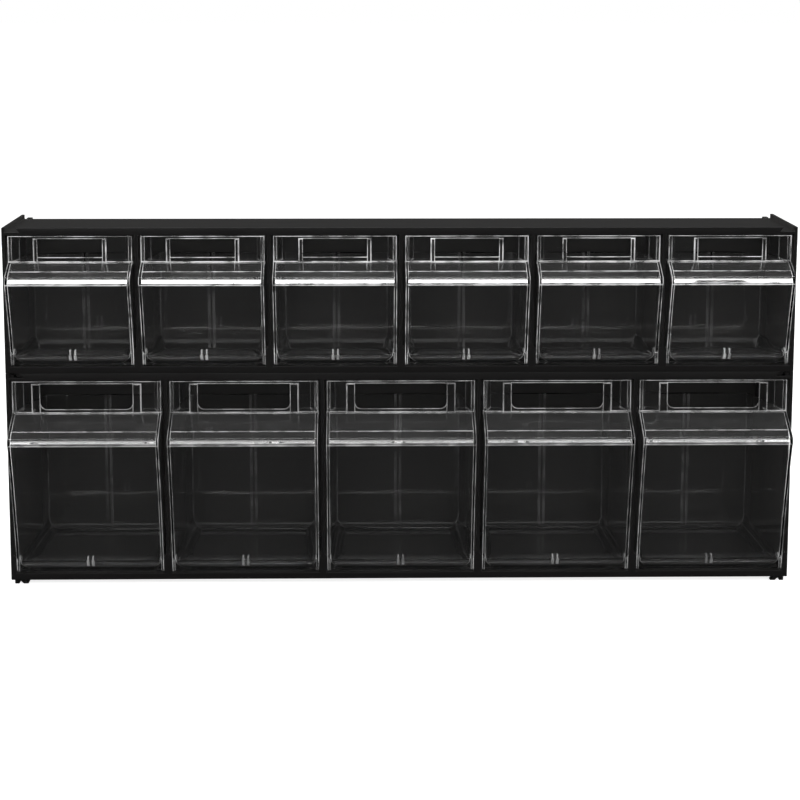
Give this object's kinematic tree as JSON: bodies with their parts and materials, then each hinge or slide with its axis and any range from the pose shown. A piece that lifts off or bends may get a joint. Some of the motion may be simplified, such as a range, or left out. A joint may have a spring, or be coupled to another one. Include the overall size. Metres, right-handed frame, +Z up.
{
  "type": "parts bin cabinet",
  "caption": "Two stacked black moulded frames, each with a row of clear bins that tip forward on pins at their lower front corners for small parts storage.",
  "frame": {"origin": "on the floor, in the middle of the whole cabinet's length and depth", "axes": "+X along the width to the right, seen from the front; the front faces -Y; +Z up"},
  "size_m": [0.6, 0.1608, 0.2762],
  "materials": {
    "black_frame": "semi-gloss moulded polystyrene",
    "clear_bin": "clear moulded polystyrene"
  },
  "bodies": {
    "cabinet": {"frame_lower": "black_frame", "frame_upper": "black_frame"},
    "bin_lower_1": {"bin_lower_1": "clear_bin"},
    "bin_lower_2": {"bin_lower_2": "clear_bin"},
    "bin_lower_3": {"bin_lower_3": "clear_bin"},
    "bin_lower_4": {"bin_lower_4": "clear_bin"},
    "bin_lower_5": {"bin_lower_5": "clear_bin"},
    "bin_upper_1": {"bin_upper_1": "clear_bin"},
    "bin_upper_2": {"bin_upper_2": "clear_bin"},
    "bin_upper_3": {"bin_upper_3": "clear_bin"},
    "bin_upper_4": {"bin_upper_4": "clear_bin"},
    "bin_upper_5": {"bin_upper_5": "clear_bin"},
    "bin_upper_6": {"bin_upper_6": "clear_bin"}
  },
  "joints": [
    {"name": "bin_lower_1_tip", "type": "hinge", "parent": "cabinet", "child": "bin_lower_1", "pos_m": [-0.23904, -0.04695, 0.0162], "axis": [1, 0, 0], "range_deg": [0, 20.9]},
    {"name": "bin_lower_2_tip", "type": "hinge", "parent": "cabinet", "child": "bin_lower_2", "pos_m": [-0.11952, -0.04695, 0.0162], "axis": [1, 0, 0], "range_deg": [0, 20.9]},
    {"name": "bin_lower_3_tip", "type": "hinge", "parent": "cabinet", "child": "bin_lower_3", "pos_m": [0, -0.04695, 0.0162], "axis": [1, 0, 0], "range_deg": [0, 20.9]},
    {"name": "bin_lower_4_tip", "type": "hinge", "parent": "cabinet", "child": "bin_lower_4", "pos_m": [0.11952, -0.04695, 0.0162], "axis": [1, 0, 0], "range_deg": [0, 20.9]},
    {"name": "bin_lower_5_tip", "type": "hinge", "parent": "cabinet", "child": "bin_lower_5", "pos_m": [0.23904, -0.04695, 0.0162], "axis": [1, 0, 0], "range_deg": [0, 20.9]},
    {"name": "bin_upper_1_tip", "type": "hinge", "parent": "cabinet", "child": "bin_upper_1", "pos_m": [-0.249, -0.04695, 0.1781], "axis": [1, 0, 0], "range_deg": [0, 21.2]},
    {"name": "bin_upper_2_tip", "type": "hinge", "parent": "cabinet", "child": "bin_upper_2", "pos_m": [-0.1494, -0.04695, 0.1781], "axis": [1, 0, 0], "range_deg": [0, 21.2]},
    {"name": "bin_upper_3_tip", "type": "hinge", "parent": "cabinet", "child": "bin_upper_3", "pos_m": [-0.0498, -0.04695, 0.1781], "axis": [1, 0, 0], "range_deg": [0, 21.2]},
    {"name": "bin_upper_4_tip", "type": "hinge", "parent": "cabinet", "child": "bin_upper_4", "pos_m": [0.0498, -0.04695, 0.1781], "axis": [1, 0, 0], "range_deg": [0, 21.2]},
    {"name": "bin_upper_5_tip", "type": "hinge", "parent": "cabinet", "child": "bin_upper_5", "pos_m": [0.1494, -0.04695, 0.1781], "axis": [1, 0, 0], "range_deg": [0, 21.2]},
    {"name": "bin_upper_6_tip", "type": "hinge", "parent": "cabinet", "child": "bin_upper_6", "pos_m": [0.249, -0.04695, 0.1781], "axis": [1, 0, 0], "range_deg": [0, 21.2]}
  ]
}
